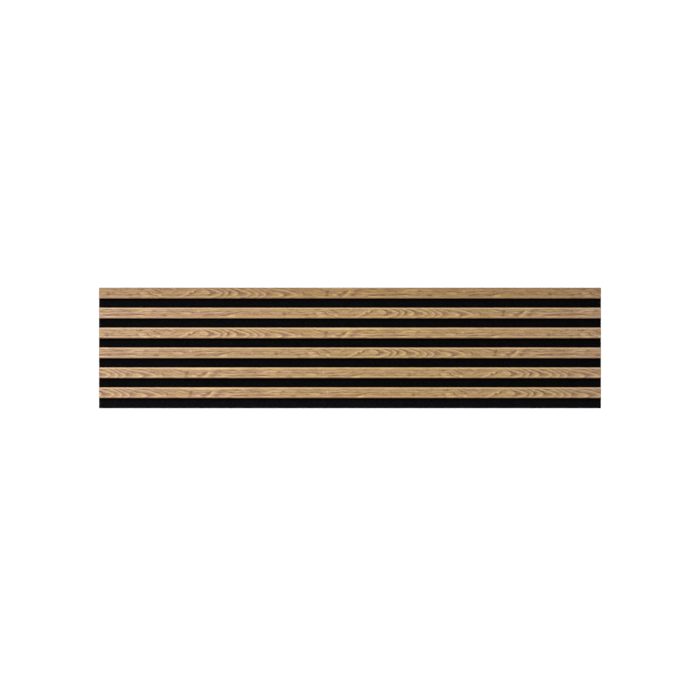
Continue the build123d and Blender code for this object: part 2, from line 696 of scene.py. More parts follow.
class Finish(Graph):
    """A material under way: its tree, its shader and the place on the piece."""

    def __init__(self, name: str, **plain: Feed) -> None:
        """Starts a material.

        Args:
            name: The material's name.
            plain: Values that are the same all over, by the shader's socket with underscores.
        """
        self.material = bpy.data.materials.new(name)
        self.material.use_nodes = True
        super().__init__(self.material.node_tree)
        self.shader = self.tree.nodes["Principled BSDF"].inputs
        for key, value in plain.items():
            self.shader[key.replace("_", " ")].default_value = value

    def place(self) -> Term:
        """Gives the Object coordinates, which are the panel's own metres."""
        return self.read("ShaderNodeTexCoord", "Object")

    def wear(self, colour: Term, roughness: Term) -> None:
        """Gives the surface its colour and roughness."""
        self.feed(self.shader["Base Color"], colour)
        self.feed(self.shader["Roughness"], roughness)

    def emboss(self, height: Term, depth: float, strength: float) -> None:
        """Puts a relief on the surface.

        Args:
            height: The relief, as a share of its depth.
            depth: Its depth in metres.
            strength: How much of it shows.
        """
        inputs = {"Height": height, "Distance": depth, "Strength": strength}
        self.feed(self.shader["Normal"], self.step("ShaderNodeBump", inputs))


@dataclass(frozen=True)
class OakWrap:
    """The oak-printed wrap of the slats, satin, with embossed pores, painted highlights on the bends at
    the edges and painted shade on the rims.
    """

    pale: Colour = paint(215, 184, 132)
    middle: Colour = paint(183, 148, 103)
    # The dark colour also gives the painted shade on the rims, and the bend colour gives the painted
    # highlights on the bends.
    dark: Colour = paint(122, 87, 61)
    pore: Colour = paint(105, 72, 52)
    bend: Colour = paint(236, 200, 148)
    blush: Colour = paint(183, 142, 113)
    olive: Colour = paint(178, 152, 88)
    # What fibres, flames and clouds add to the figure, and the levels where its colours change.
    fibre_share: float = 0.75
    flame: Grain = Grain(18.0, 2.8, reach=0.60)
    cloud: Grain = Grain(85.0, 12.0, reach=0.30, detail=2.0)
    pale_levels: Pair = (0.09, 0.5)
    dark_levels: Pair = (0.5, 0.95)
    # Pinkish and olive patches.
    hue: Grain = Grain(18.0, 5.5)
    blush_levels: Pair = (0.50, 0.70)
    blush_share: float = 0.48
    olive_levels: Pair = (0.30, 0.50)
    olive_share: float = 0.54
    # Pores show more where the figure is dark.
    pore_levels: Pair = (0.25, 0.75)
    pore_share: Pair = (0.30, 0.95)
    # Painted highlights on the bends and painted shade on the rims, by their place across the slat in
    # millimetres.
    upper_highlight: float = 11.8
    upper_painted_share: float = 0.65
    lower_highlight: float = -9.1
    lower_highlight_share: float = 0.30
    highlight_reach: float = 2.6
    rim: float = 14.4
    rim_shade_share: float = 0.95
    upper_shade_reach: float = 1.9
    lower_shade_reach: float = 4.8
    # Painted cool light towards the panel's ends: share of blue along the panel, in millimetres.
    length: float = 1250.0
    painted_cool_light: tuple[Pair, ...] = (
        (0, 1.20), (235, 1.09), (545, 0.98), (705, 0.94), (1015, 0.99), (1250, 1.17),
    )
    # Share of the warmth that green loses, where blue loses all of it.
    green_share: float = 0.30
    roughness: float = 0.50
    pore_roughness: float = 0.18
    cloud_roughness: float = 0.10
    fibre_relief: float = 0.4
    relief: float = 0.06 * MM
    relief_strength: float = 0.6
    printed: OakPrint = OakPrint()

    def material(self) -> bpy.types.Material:
        """Builds the material from the two attributes of the slats.

        Returns:
            The material.
        """
        look = Finish("oak_wrap", Specular_IOR_Level=0.35)
        decor = look.read("ShaderNodeAttribute", "Vector", attribute_name=DECOR)
        tone, shine, warmth = look.parts(look.read("ShaderNodeAttribute", "Vector", attribute_name=TONE))
        along, across, lowered = look.parts(look.move(Op.MULTIPLY, decor, (PER_METRE,) * 3))
        print_across = across + lowered
        place = self.printed.place(look, along, print_across)
        drawn = look.group(self.printed.figure_group(), along=along, across=print_across, place=place)
        fine = look.group(self.printed.pore_group(), place=place)
        cloudy = self.cloud.level(look, place)
        figure = drawn["Figure"] + (fine["Fibre"] - EVEN) * self.fibre_share
        figure = figure + self.flame.sway(look, place) + (cloudy - EVEN) * self.cloud.reach
        colour = self.wood(look, place, figure, fine["Pore"])
        colour = self.edges(look, colour, across, shine)
        colour = self.tint(look, colour, tone, warmth)
        rough = fine["Pore"] * self.pore_roughness + self.roughness + cloudy * self.cloud_roughness
        look.wear(colour, rough)
        look.emboss(fine["Fibre"] * self.fibre_relief - fine["Pore"], self.relief, self.relief_strength)
        return look.material

    def wood(self, look: Finish, place: Term, figure: Term, pore: Term) -> Term:
        """Colours the figure and lays patches and pores over it.

        Args:
            look: The material.
            place: The place for noise.
            figure: The figure, 0 pale to 1 dark.
            pore: Where pores are.

        Returns:
            The colour.
        """
        colour = look.lay(look.span(figure, self.pale_levels, smooth=False), self.pale, self.middle)
        colour = look.lay(look.span(figure, self.dark_levels, smooth=False), colour, self.dark)
        hue = self.hue.level(look, place)
        colour = look.lay(look.span(hue, self.blush_levels, (0.0, self.blush_share)), colour, self.blush)
        colour = look.lay(look.span(hue, self.olive_levels, (self.olive_share, 0.0)), colour, self.olive)
        shown = look.span(figure, self.pore_levels, self.pore_share, smooth=False)
        return look.lay(pore * shown, colour, self.pore)

    def edges(self, look: Finish, colour: Term, across: Term, shine: Term) -> Term:
        """Lays painted highlights on the bends and painted shade on the rims over the wood.

        Args:
            look: The material.
            colour: The wood's colour.
            across: Place across the unrolled wrap, in millimetres.
            shine: How strong the painted highlight on the upper bend is, or the painted shade there where
                it is below 0.

        Returns:
            The colour.
        """
        # Painted highlight on the upper bend, or painted shade there where shine is below 0.
        upper = look.bump(across, self.upper_highlight, self.highlight_reach) * shine
        colour = look.lay(upper * self.upper_painted_share, colour, self.bend)
        colour = look.lay(upper * -self.upper_painted_share, colour, self.dark)
        # Painted highlight on the lower bend.
        lower = look.bump(across, self.lower_highlight, self.highlight_reach)
        colour = look.lay(lower * self.lower_highlight_share, colour, self.bend)
        # Painted shade on the rims, reaching further at the lower edge.
        rim = look.bump(across, self.rim, self.upper_shade_reach)
        rim = rim + look.bump(across, -self.rim, self.lower_shade_reach)
        return look.lay(rim * self.rim_shade_share, colour, self.dark)

    def tint(self, look: Finish, colour: Term, tone: Term, warmth: Term) -> Term:
        """Makes the wrap as light and as warm as the slat's own, and paints cooler light towards the
        panel's ends.

        Args:
            look: The material.
            colour: The colour so far.
            tone: How light the wrap is.
            warmth: How much of its blue is missing.

        Returns:
            The colour.
        """
        from_left = look.parts(look.place())[0] * (PER_METRE / self.length) + 0.5
        green = tone * (1.0 - warmth * self.green_share)
        # Painted cool light: more blue towards the panel's ends.
        blue = tone * look.course(from_left, self.length, self.painted_cool_light) * (1.0 - warmth)
        return look.lay(1.0, colour, look.vector(tone, green, blue), Blend.TINT)


@dataclass(frozen=True)
class CutFibreboard:
    """The sawn ends of the slats, where the pressed fibre core shows inside the wrap."""

    pale: Colour = paint(176, 140, 102)
    dark: Colour = paint(120, 88, 60)
    # The fibres are pressed flat across the thickness.
    flatness: Triple = (1.0, 1.6, 1.0)
    coarse: float = 420.0
    fine: float = 2600.0
    lump_levels: Pair = (0.3, 0.7)
    speck_levels: Pair = (0.55, 0.75)
    speck_share: float = 0.6
    roughness: Pair = (0.75, 0.95)
    relief: float = 0.12 * MM
    relief_strength: float = 0.7

    def material(self, mottle: bpy.types.NodeTree) -> bpy.types.Material:
        """Builds the material.

        Args:
            mottle: The group of shared mottling.

        Returns:
            The material.
        """
        look = Finish("cut_fibreboard", Specular_IOR_Level=0.15)
        flat = look.move(Op.MULTIPLY, look.place(), self.flatness)
        mixed = look.group(mottle, place=flat, coarse=self.coarse, fine=self.fine)
        colour = look.lay(look.span(mixed["Lumps"], self.lump_levels), self.pale, self.dark)
        specks = look.span(mixed["Specks"], self.speck_levels, (0.0, self.speck_share))
        colour = look.lay(specks, colour, self.dark)
        look.wear(colour, look.span(mixed["Specks"], SPECK_LEVELS, self.roughness))
        look.emboss(mixed["Specks"], self.relief, self.relief_strength)
        return look.material


@dataclass(frozen=True)
class NeedledFelt:
    """Black needle-punched felt: matted fibres with a faint paler fuzz, and painted light on the bare
    margin below the slats.
    """

    deep: Colour = (0.0005, 0.0006, 0.0008, 1.0)
    fuzz: Colour = (0.0087, 0.0088, 0.0102, 1.0)
    coarse: float = 160.0
    fine: float = 1900.0
    # Matted strands run both ways and swirl.
    swirl_scale: float = 90.0
    swirl: float = 12 * MM
    strand_scales: Triple = (300.0, 900.0, 2400.0)
    strand_levels: Pair = (0.42, 0.70)
    strand_share: float = 0.6
    shade_levels: Pair = (0.35, 0.7)
    shade_share: float = 0.45
    # Painted light: the bare margin below the last slat is painted paler on its front.
    margin_top: float = -0.125
    margin_fade: float = 4 * MM
    margin_depth: Pair = (-8 * MM, -6 * MM)
    margin_painted_light: float = 0.6
    roughness: Pair = (0.88, 1.0)
    speck_relief: float = 0.5
    relief: float = 0.35 * MM
    relief_strength: float = 0.8

    def material(self, mottle: bpy.types.NodeTree) -> bpy.types.Material:
        """Builds the material.

        Args:
            mottle: The group of shared mottling.

        Returns:
            The material.
        """
        look = Finish("needled_felt", Specular_IOR_Level=0.025)
        place = look.place()
        mixed = look.group(mottle, place=place, coarse=self.coarse, fine=self.fine)
        strands = self.strands(look, place)
        colour = look.lay(strands, self.deep, self.fuzz)
        shade = look.span(mixed["Lumps"], self.shade_levels, (0.0, self.shade_share))
        colour = look.lay(shade, colour, self.deep)
        _, depth, height = look.parts(place)
        bare = look.span(height, (self.margin_top - self.margin_fade, self.margin_top), (1.0, 0.0))
        bare = bare * look.span(depth, self.margin_depth, (1.0, 0.0))
        # Painted light on the bare margin.
        lift = bare * self.margin_painted_light + 1.0
        colour = look.lay(1.0, colour, look.vector(lift, lift, lift), Blend.TINT)
        look.wear(colour, look.span(mixed["Specks"], SPECK_LEVELS, self.roughness))
        look.emboss(mixed["Specks"] * self.speck_relief + strands, self.relief, self.relief_strength)
        return look.material

    def strands(self, look: Finish, place: Term) -> Term:
        """Draws the matted strands.

        Args:
            look: The material.
            place: Where they are drawn.

        Returns:
            How much of a strand shows there.
        """
        shift = look.cloud(place, self.swirl_scale, reading=Reading.SHIFT)
        bent = look.move(Op.ADD, look.move(Op.MULTIPLY, shift, (self.swirl,) * 3), place)
        lengthwise = look.cloud(look.move(Op.MULTIPLY, bent, self.strand_scales))
        crosswise = look.cloud(look.move(Op.MULTIPLY, bent, self.strand_scales[::-1]))
        lengthwise = look.span(lengthwise, self.strand_levels) * self.strand_share
        return look.span(crosswise, self.strand_levels) * self.strand_share + lengthwise


@dataclass(frozen=True)
class LooseFibre:
    """Single fibres that stand out of the felt, from black to charcoal."""

    deep: Colour = (0.003, 0.003, 0.0034, 1.0)
    light: Colour = (0.026, 0.026, 0.028, 1.0)
    coarse: float = 500.0
    fine: float = 1500.0
    lump_levels: Pair = (0.4, 0.65)
    roughness: Pair = (0.7, 0.95)

    def material(self, mottle: bpy.types.NodeTree) -> bpy.types.Material:
        """Builds the material.

        Args:
            mottle: The group of shared mottling.

        Returns:
            The material.
        """
        look = Finish("loose_fibre", Specular_IOR_Level=0.12)
        mixed = look.group(mottle, place=look.place(), coarse=self.coarse, fine=self.fine)
        colour = look.lay(look.span(mixed["Lumps"], self.lump_levels), self.deep, self.light)
        look.wear(colour, look.span(mixed["Specks"], SPECK_LEVELS, self.roughness))
        return look.material


@dataclass(frozen=True)
class ZincWire:
    """Zinc-plated staple wire, with drawn lines along it and dull patches."""

    bright: Colour = (0.60, 0.61, 0.62, 1.0)
    dull: Colour = (0.32, 0.33, 0.35, 1.0)
    drawn: Triple = (1.0, 6.0, 6.0)
    coarse: float = 350.0
    fine: float = 1800.0
    lump_levels: Pair = (0.35, 0.7)
    rough_levels: Pair = (0.3, 0.7)
    roughness: Pair = (0.28, 0.52)
    relief: float = 0.03 * MM
    relief_strength: float = 0.5

    def material(self, mottle: bpy.types.NodeTree) -> bpy.types.Material:
        """Builds the material.

        Args:
            mottle: The group of shared mottling.

        Returns:
            The material.
        """
        look = Finish("zinc_wire", Metallic=1.0)
        place = look.move(Op.MULTIPLY, look.place(), self.drawn)
        mixed = look.group(mottle, place=place, coarse=self.coarse, fine=self.fine)
        colour = look.lay(look.span(mixed["Lumps"], self.lump_levels), self.bright, self.dull)
        look.wear(colour, look.span(mixed["Lumps"], self.rough_levels, self.roughness))
        look.emboss(mixed["Specks"], self.relief, self.relief_strength)
        return look.material


def add_object(name: str, data: bpy.types.ID) -> bpy.types.Object:
    """Puts an object into the scene, at the origin.

    Args:
        name: The object's name.
        data: Its mesh, light or camera.

    Returns:
        The object.
    """
    made = bpy.data.objects.new(name, data)
    bpy.context.scene.collection.objects.link(made)
    return made


class Recipe(GroupTree):
    """A Geometry Nodes tree that makes one kind of piece."""

    def __init__(self, name: str, inputs: dict[str, Kind]) -> None:
        """Starts the tree.

        Args:
            name: The tree's name.
            inputs: Name and kind of each size or material; the geometry comes before them.
        """
        geometry = {"Geometry": Kind.GEOMETRY}
        super().__init__(name, geometry | inputs, geometry, tree="GeometryNodeTree")

    def join(self, *pieces: Term) -> Term:
        """Joins geometries into one.

        Args:
            pieces: The geometries, in the order that they are to have.

        Returns:
            The joined geometry.
        """
        made = self.node("GeometryNodeJoinGeometry")
        for piece in reversed(pieces):
            self.feed(made.inputs[0], piece)
        return Term(self, made.outputs[0])

    def dress(self, geometry: Term, material: Feed) -> Term:
        """Gives a geometry its material."""
        return self.step("GeometryNodeSetMaterial", {"Geometry": geometry, "Material": material})

    def ease(self, curve: Term, radius: Feed, count: int) -> Term:
        """Rounds a curve's corners with a few points each."""
        inputs = {"Curve": curve, "Radius": radius, "Count": count}
        return self.step("GeometryNodeFilletCurve", inputs, mode="POLY")

    def chance(self, low: float, high: float, seed: Feed) -> Term:
        """Draws a random number for each point.

        Args:
            low: The lowest it can be.
            high: The highest it can be.
            seed: The seed of the draw.

        Returns:
            The number.
        """
        made = self.node("FunctionNodeRandomValue", data_type="FLOAT")
        shown = {socket.name: socket for socket in made.inputs if socket.enabled}
        for name, value in {"Min": low, "Max": high, "Seed": seed}.items():
            self.feed(shown[name], value)
        return Term(self, next(socket for socket in made.outputs if socket.enabled))

    def cook(self, name: str, host: bpy.types.Mesh, values: dict[str, object]) -> bpy.types.Object:
        """Runs the tree on a mesh and keeps the result as a plain piece.

        Args:
            name: The piece's name.
            host: The mesh that the tree starts from.
            values: The tree's inputs by name.

        Returns:
            The piece, with no modifier left on it.
        """
        piece = add_object(name, host)
        modifier = piece.modifiers.new(name, "NODES")
        modifier.node_group = self.tree
        for item in self.tree.interface.items_tree:
            if item.in_out == "INPUT" and item.name in values:
                modifier[item.identifier] = values[item.name]
        graph = bpy.context.evaluated_depsgraph_get()
        graph.update()
        cooked = bpy.data.meshes.new_from_object(piece.evaluated_get(graph), depsgraph=graph)
        piece.modifiers.clear()
        piece.data = cooked
        cooked.name = name
        bpy.data.meshes.remove(host)
        return piece


def show(piece: bpy.types.Object, slot: Slot, *nodes: str) -> None:
    """Fixes a finished piece to the panel and reports it.

    Args:
        piece: The piece.
        slot: The record's material slot; not used.
        nodes: The CAD nodes that it stands for.
    """
    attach(piece, BODY)
    if nodes:
        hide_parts(*nodes)
    piece.data.calc_loop_triangles()
    LOG.info("%s: %d triangles", piece.name, len(piece.data.loop_triangles))


@dataclass(frozen=True)
class SlatCut:
    """Where a slat was cut from the print, and how its wrap came out.

    The shift is how far along the slat the print starts and the drop how much lower it lies, both in
    metres. The tone is how light the wrap is, the shine how strong the painted highlight on its upper
    bend is, or the painted shade there below 0, and the warmth how much of its blue is missing.
    """

    shift: float
    tone: float
    drop: float = 0.0
    shine: float = 1.0
    warmth: float = 0.0


class Cut(Enum):
    """The slats from the top down."""

    # The first slat's upper bend gets painted shade in place of a painted highlight.
    FIRST = SlatCut(shift=0.0, tone=0.79, shine=-0.4, warmth=0.16)
    SECOND = SlatCut(shift=0.4387, tone=0.91)
    THIRD = SlatCut(shift=-0.0035, tone=0.97, drop=0.0031)
    FOURTH = SlatCut(shift=0.4187, tone=0.95)
    FIFTH = SlatCut(shift=-0.350, tone=0.99, drop=0.0035)
    SIXTH = SlatCut(shift=-0.340, tone=0.98, drop=0.0029)


SLAT_NODES = tuple(f"slat_{number}" for number in range(1, len(Cut) + 1))


@dataclass
class SlatSet:
    """The wrapped slats: bars with eased edges whose sawn ends show the core inside the wrap."""

    front_radius: float = 1.5 * MM
    back_radius: float = 0.5 * MM
    wrap_thickness: float = 0.35 * MM
    outline_step: float = 0.4 * MM
    corner_points: int = 8
    weld: float = 0.001 * MM

    def outline(self, tree: Recipe, inset: Feed) -> Term:
        """Draws the slat's section as a closed curve, front towards -X and width along Y.

        Args:
            tree: The slat's tree.
            inset: How far inside the slat's surface it runs.

        Returns:
            The curve.
        """
        given = tree.given
        box = {"Width": given["Thickness"] - inset * 2.0, "Height": given["Width"] - inset * 2.0}
        curve = tree.step("GeometryNodeCurvePrimitiveQuadrilateral", box)
        depth = tree.parts(tree.step("GeometryNodeInputPosition"))[0]
        behind = tree.sum(Op.GREATER, depth, 0.0)
        front = given["Front Radius"]
        radius = behind * (given["Back Radius"] - front) + front - inset
        curve = tree.ease(curve, radius, self.corner_points)
        spaced = {"Curve": curve, "Length": given["Step"]}
        return tree.step("GeometryNodeResampleCurve", spaced, mode="LENGTH")

    def recipe(self) -> Recipe:
        """Builds the tree of one slat, upright along Z and then laid along X.

        Returns:
            The tree.
        """
        sizes = ("Length", "Width", "Thickness", "Front Radius", "Back Radius", "Wrap Thickness", "Step")
        kinds = dict.fromkeys(sizes + ("Shift", "Drop", "Tone", "Shine", "Warmth"), Kind.NUMBER)
        kinds |= {"Middle": Kind.VECTOR, "Wrap": Kind.MATERIAL, "Core": Kind.MATERIAL}
        tree = Recipe("wrapped_slat", kinds)
        given = tree.given
        outer = self.outline(tree, 0.0)
        inner = self.outline(tree, given["Wrap Thickness"])
        sides = self.long_faces(tree, tree.step("GeometryNodeCurveToMesh", {"Curve": outer}))
        sides = tree.step("GeometryNodeSetShadeSmooth", {"Geometry": sides, "Shade Smooth": True})
        sides = tree.dress(sides, given["Wrap"])
        rim = tree.step("GeometryNodeFillCurve", {"Curve": tree.join(outer, inner)}, mode="TRIANGLES")
        core = tree.step("GeometryNodeFillCurve", {"Curve": inner}, mode="TRIANGLES")
        cap = tree.join(tree.dress(rim, given["Wrap"]), tree.dress(core, given["Core"]))
        cap = tree.step("GeometryNodeSetShadeSmooth", {"Geometry": cap, "Shade Smooth": False})
        rise = tree.vector(0.0, 0.0, given["Length"])
        far = tree.step("GeometryNodeTransform", {"Geometry": cap, "Translation": rise})
        slat = tree.join(sides, tree.step("GeometryNodeFlipFaces", {"Mesh": cap}), far)
        slat = tree.step("GeometryNodeMergeByDistance", {"Geometry": slat, "Distance": self.weld})
        halfway = tree.vector(0.0, 0.0, given["Length"] * -0.5)
        slat = tree.step("GeometryNodeTransform", {"Geometry": slat, "Translation": halfway})
        laid = {"Rotation": (QUARTER_TURN, 0.0, QUARTER_TURN), "Translation": given["Middle"]}
        slat = tree.step("GeometryNodeTransform", {"Geometry": slat} | laid)
        slat = self.print_place(tree, slat)
        tree.put_out(Geometry=tree.step("GeometryNodeRealizeInstances", {"Geometry": slat}))
        return tree

    def long_faces(self, tree: Recipe, loop: Term) -> Term:
        """Draws the section's edges out to the slat's length, with a line close to each sawn end.

        Args:
            tree: The slat's tree.
            loop: The section's edges.

        Returns:
            The long faces, outwards.
        """
        short = tree.given["Step"]
        long = tree.given["Length"] - short * 2.0
        drawn = {"Mesh": loop}
        for reach in (short, long, short):
            drawn |= {"Offset": tree.vector(0.0, 0.0, reach), "Offset Scale": 1.0}
            made = tree.node("GeometryNodeExtrudeMesh", drawn, mode="EDGES").outputs
            drawn = {"Mesh": Term(tree, made["Mesh"]), "Selection": Term(tree, made["Top"])}
        return tree.step("GeometryNodeFlipFaces", {"Mesh": drawn["Mesh"]})

    def print_place(self, tree: Recipe, slat: Term) -> Term:
        """Writes where each point lies on the unrolled wrap, and how the wrap came out.

        Args:
            tree: The slat's tree.
            slat: The slat in its place.

        Returns:
            The slat with the two attributes.
        """
        given = tree.given
        offset = tree.move(Op.SUBTRACT, tree.step("GeometryNodeInputPosition"), given["Middle"])
        x, y, z = tree.parts(offset)
        along = x - given["Shift"] + given["Length"] * 0.5
        behind_front = y + given["Thickness"] * 0.5
        across = z + tree.sum(Op.SIGN, z) * behind_front
        values = {
            DECOR: tree.vector(along, across, given["Drop"]),
            TONE: tree.vector(given["Tone"], given["Shine"], given["Warmth"]),
        }
        for name, value in values.items():
            stored = {"Geometry": slat, "Name": name, "Value": value}
            slat = tree.step("GeometryNodeStoreNamedAttribute", stored, data_type="FLOAT_VECTOR")
        return slat

    def build(self, wrap: bpy.types.Material, core: bpy.types.Material) -> None:
        """Makes the slats where the CAD slats are.

        Args:
            wrap: The wrap's material.
            core: The material of the sawn ends.
        """
        recipe = self.recipe()
        for number, (node, cut) in enumerate(zip(SLAT_NODES, Cut), start=1):
            low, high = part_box(node)
            size = high - low
            values = {
                "Length": size.x,
                "Width": size.z,
                "Thickness": size.y,
                "Front Radius": self.front_radius,
                "Back Radius": self.back_radius,
                "Wrap Thickness": self.wrap_thickness,
                "Step": self.outline_step,
                "Middle": tuple((low + high) / 2),
                "Shift": cut.value.shift,
                "Drop": cut.value.drop,
                "Tone": cut.value.tone,
                "Shine": cut.value.shine,
                "Warmth": cut.value.warmth,
                "Wrap": wrap,
                "Core": core,
            }
            name = f"oak_slat_{number}"
            show(recipe.cook(name, bpy.data.meshes.new(name), values), Slot.OAK, node)


@dataclass
class StapleRows:
    """The staples behind the slats: flat wire with eased edges and round bends, its legs in the slats."""

    node: str = "rear_staples"
    columns: int = 7
    crown: float = 12.9 * MM
    wire_thickness: float = 0.65 * MM
    wire_width: float = 0.95 * MM
    bend_radius: float = 0.55 * MM
    bend_points: int = 4
    wire_round: float = 0.12 * MM
    wire_points: int = 2

    def stations(self) -> list[float]:
        """Works out where the staples are along a slat.

        Returns:
            The middle of each staple.
        """
        low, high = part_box(self.node)
        run = high.x - low.x - self.crown
        start = low.x + self.crown / 2
        return [start + run * index / (self.columns - 1) for index in range(self.columns)]

    def recipe(self) -> Recipe:
        """Builds the tree that bends one staple and sets it at each place of the grid.

        Returns:
            The tree.
        """
        sizes = ("Crown", "Leg", "Wire Thickness", "Wire Width", "Bend", "Round", "Run", "Rise")
        kinds = dict.fromkeys(sizes, Kind.NUMBER) | dict.fromkeys(("Columns", "Rows"), Kind.COUNT)
        tree = Recipe("staple_rows", kinds | {"Middle": Kind.VECTOR, "Wire": Kind.MATERIAL})
        given = tree.given
        right = (given["Crown"] - given["Wire Thickness"]) * 0.5
        left = right * -1.0
        tip = given["Leg"] * -1.0
        corners = ((left, tip), (left, 0.0), (right, 0.0), (right, tip))
        points = {f"Point {n}": tree.vector(x, y, 0.0) for n, (x, y) in enumerate(corners, start=1)}
        path = tree.step("GeometryNodeCurvePrimitiveQuadrilateral", points, mode="POINTS")
        path = tree.step("GeometryNodeSetSplineCyclic", {"Geometry": path, "Cyclic": False})
        path = tree.ease(path, given["Bend"], self.bend_points)
        section = {"Width": given["Wire Width"], "Height": given["Wire Thickness"]}
        section = tree.step("GeometryNodeCurvePrimitiveQuadrilateral", section)
        section = tree.ease(section, given["Round"], self.wire_points)
        solid = {"Curve": path, "Profile Curve": section, "Fill Caps": True}
        staple = tree.step("GeometryNodeCurveToMesh", solid)
        grid = {"Size X": given["Run"], "Size Y": given["Rise"]}
        grid |= {"Vertices X": given["Columns"], "Vertices Y": given["Rows"]}
        places = tree.step("GeometryNodeMeshGrid", grid)
        upright = {"Rotation": (QUARTER_TURN, 0.0, 0.0), "Translation": given["Middle"]}
        places = tree.step("GeometryNodeTransform", {"Geometry": places} | upright)
        placed = tree.step("GeometryNodeInstanceOnPoints", {"Points": places, "Instance": staple})
        real = tree.step("GeometryNodeRealizeInstances", {"Geometry": placed})
        tree.put_out(Geometry=tree.dress(real, given["Wire"]))
        return tree

    def build(self, wire: bpy.types.Material) -> None:
        """Makes the staples where the CAD staples are.

        Args:
            wire: The wire's material.
        """
        low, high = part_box(self.node)
        values = {
            "Crown": self.crown,
            "Leg": high.y - low.y - self.wire_thickness / 2,
            "Wire Thickness": self.wire_thickness,
            "Wire Width": self.wire_width,
            "Bend": self.bend_radius,
            "Round": self.wire_round,
            "Run": high.x - low.x - self.crown,
            "Rise": high.z - low.z - self.wire_width,
            "Columns": self.columns,
            "Rows": len(Cut),
            "Middle": (0.0, high.y - self.wire_thickness / 2, (low.z + high.z) / 2),
            "Wire": wire,
        }
        name = "zinc_staples"
        show(self.recipe().cook(name, bpy.data.meshes.new(name), values), Slot.STEEL, self.node)


@dataclass
class FeltBacking:
    """The felt board: soft cut edges, slightly uneven faces, and a dimple round every staple."""

    staples: StapleRows
    edge_round: float = 0.5 * MM
    # Lines across a rounded edge, as shares of its radius.
    edge_lines: tuple[float, ...] = (0.0, 0.15, 0.45, 1.0)
    coarse_step: float = 11.0 * MM
    dimple_step: float = 1.0 * MM
    dimple_reach: float = 5.0 * MM
    dimple_depth: float = 0.75 * MM
    unevenness: float = 0.22 * MM
    # Scale and share of each layer of the unevenness.
    rough_layers: tuple[Pair, ...] = ((60.0, 0.6), (210.0, 0.4))
    # A point this close to the board's front or back counts as lying on it.
    touch: float = 1e-7

    def lines(self, low: float, high: float, dense: list[Pair]) -> list[float]:
        """Spaces grid lines along one side, close at the cut edges and in the dense stretches.

        Args:
            low: Start of the side.
            high: End of the side.
            dense: Start and end of each stretch with close lines.

        Returns:
            The places of the lines, in order.
        """
        places = [low + share * self.edge_round for share in self.edge_lines]
        places += [high - share * self.edge_round for share in self.edge_lines]
        inner_low, inner_high = low + self.edge_round, high - self.edge_round
        stops = [inner_low, inner_high]
        for start, end in dense:
            stops += [min(max(place, inner_low), inner_high) for place in (start, end)]
        stops = sorted(set(stops))
        for start, end in zip(stops, stops[1:]):
            middle = (start + end) / 2
            close = any(a <= middle <= b for a, b in dense)
            step = self.dimple_step if close else self.coarse_step
            count = max(1, math.ceil((end - start) / step))
            places += [start + (end - start) * index / count for index in range(count + 1)]
        return merge_close(sorted(places))

    def dimple(self, x: float, z: float, stations: list[float], heights: list[float]) -> float:
        """Works out how far the back is pulled in by the nearest staple.

        Args:
            x: Place along the panel.
            z: Height.
            stations: Middle of each staple along a slat.
            heights: Height of each row of staples.

        Returns:
            The depth of the dimple there.
        """
        half = self.staples.crown / 2
        beside = min(max(0.0, abs(x - station) - half) for station in stations)
        above = min(abs(z - height) for height in heights)
        near = max(0.0, 1.0 - math.hypot(beside, above) / self.dimple_reach)
        eased = near * near * (3.0 - 2.0 * near)
        return self.dimple_depth * eased * near

    def settle(self, point: Vector, low: Vector, high: Vector) -> Vector:
        """Rounds the board's edges over.

        Args:
            point: A point on the sharp board.
            low: The board's lowest corner.
            high: The board's highest corner.

        Returns:
            The point on the rounded board.
        """
        radius = self.edge_round
        inner = Vector(min(max(point[i], low[i] + radius), high[i] - radius) for i in range(3))
        out = point - inner
        return inner + out.normalized() * radius if out.length > 0 else point

    def build(self, felt: bpy.types.Material) -> None:
        """Makes the board where the CAD board is.

        Args:
            felt: The felt's material.
        """
        node = "felt_backing"
        low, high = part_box(node)
        stations = self.staples.stations()
        heights = [sum(corner.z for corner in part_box(slat)) / 2 for slat in SLAT_NODES]
        wide = self.staples.crown / 2 + self.dimple_reach
        xs = self.lines(low.x, high.x, [(s - wide, s + wide) for s in stations])
        ys = self.lines(low.y, high.y, [])
        zs = self.lines(low.z, high.z, [(h - self.dimple_reach, h + self.dimple_reach) for h in heights])
        mesh = box_mesh("felt_board", xs, ys, zs)
        for vertex in mesh.vertices:
            flat = vertex.co.copy()
            place = self.settle(flat, low, high)
            rough = sum(noise.noise(flat * scale) * share for scale, share in self.rough_layers)
            inward = self.unevenness * (0.5 + 0.5 * rough)
            if flat.y >= high.y - self.touch:
                place.y -= inward + self.dimple(flat.x, flat.z, stations, heights)
            elif flat.y <= low.y + self.touch:
                place.y += inward
            vertex.co = place
        mesh.materials.append(felt)
        mesh.polygons.foreach_set("use_smooth", [True] * len(mesh.polygons))
        show(add_object("felt_board", mesh), Slot.FELT, node)


def merge_close(places: list[float], least: float = 0.001 * MM) -> list[float]:
    """Drops places that repeat the one before.

    Args:
        places: The places in order.
        least: The least distance between two of them.

    Returns:
        The places that are left.
    """
    kept = places[:1]
    for place in places[1:]:
        if place - kept[-1] > least:
            kept.append(place)
    return kept


